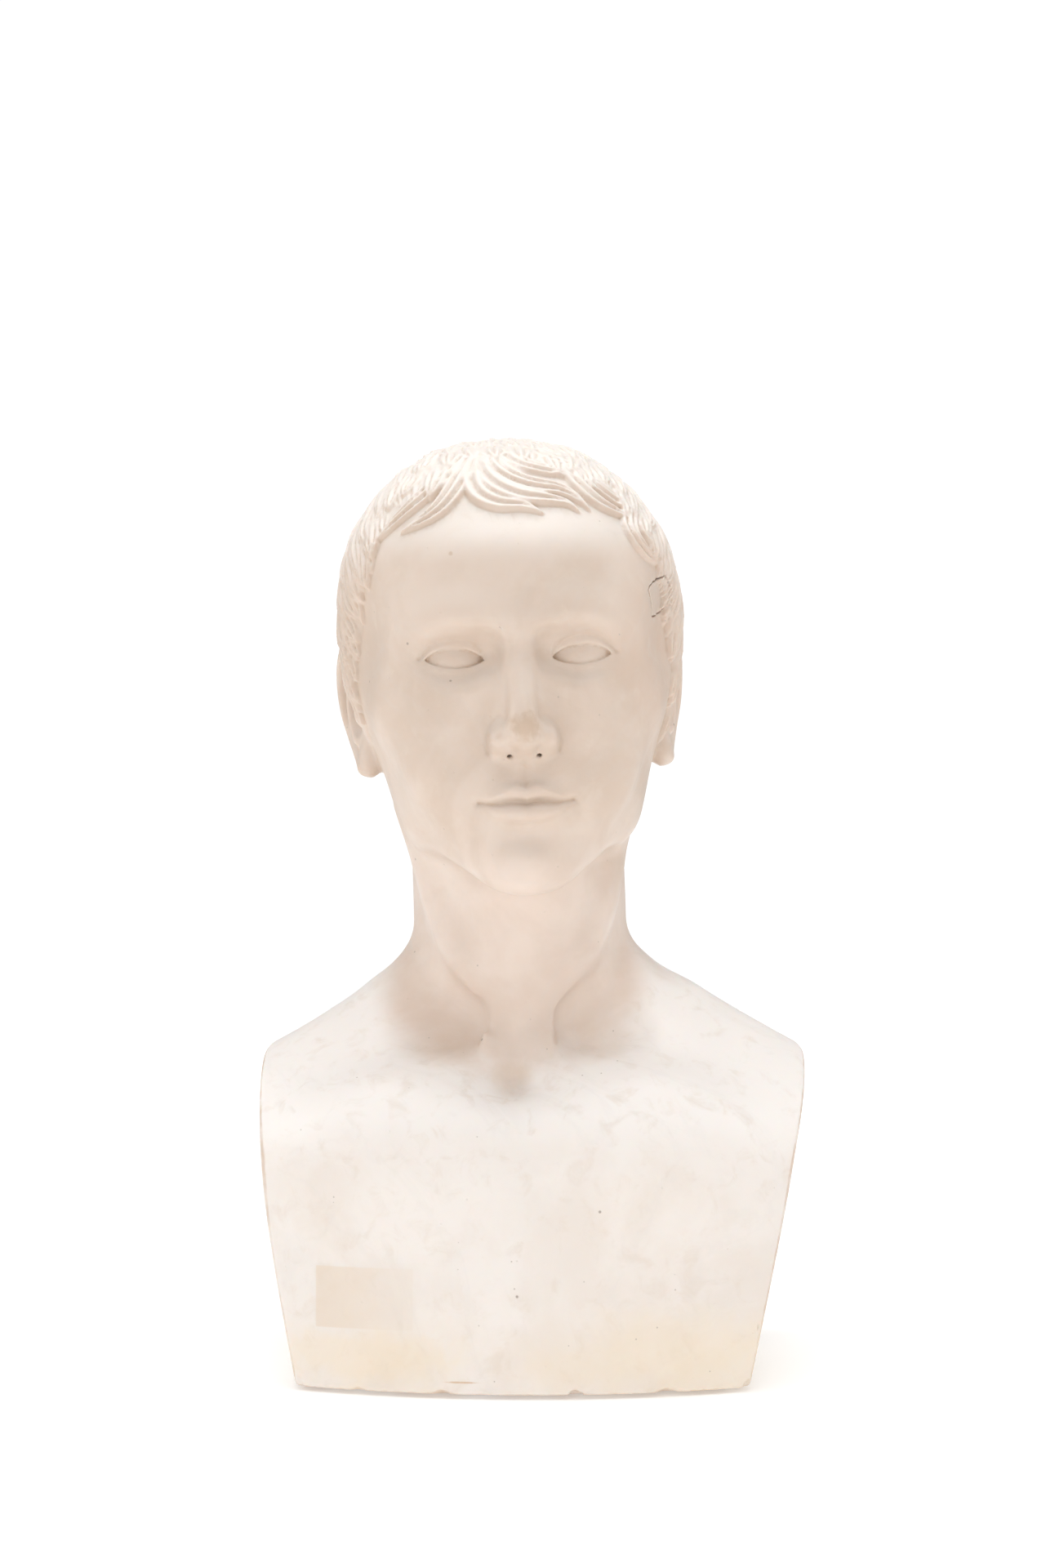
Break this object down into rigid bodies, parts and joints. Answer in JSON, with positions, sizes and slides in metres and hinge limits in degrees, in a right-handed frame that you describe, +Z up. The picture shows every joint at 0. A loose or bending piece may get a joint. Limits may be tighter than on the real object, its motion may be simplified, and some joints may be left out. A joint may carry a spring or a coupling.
{
  "type": "marble bust",
  "caption": "Life-size marble herm bust: short combed-forward hair, bare chest cut square at the sides, flat foot on felt pads, hidden steel dowel socket underneath.",
  "frame": {"origin": "on the ground under the middle of the bust's bounding box, at the felt pads' undersides", "axes": "+Z up to the top of the head, -Y the way the face looks, +X to the right as seen from in front"},
  "size_m": [0.2864, 0.2285, 0.4998],
  "materials": {
    "marble": "honed, aged to a warm cream",
    "steel": "turned, dull",
    "mortar": "rough lime mortar",
    "felt": "dense wool felt"
  },
  "bodies": {
    "root": {"marble_body": "marble", "temple_chip": "marble", "dowel_socket": "steel", "mortar_bed": "mortar", "felt_pad_front_left": "felt", "felt_pad_front_right": "felt", "felt_pad_back_left": "felt", "felt_pad_back_right": "felt"}
  },
  "joints": []
}
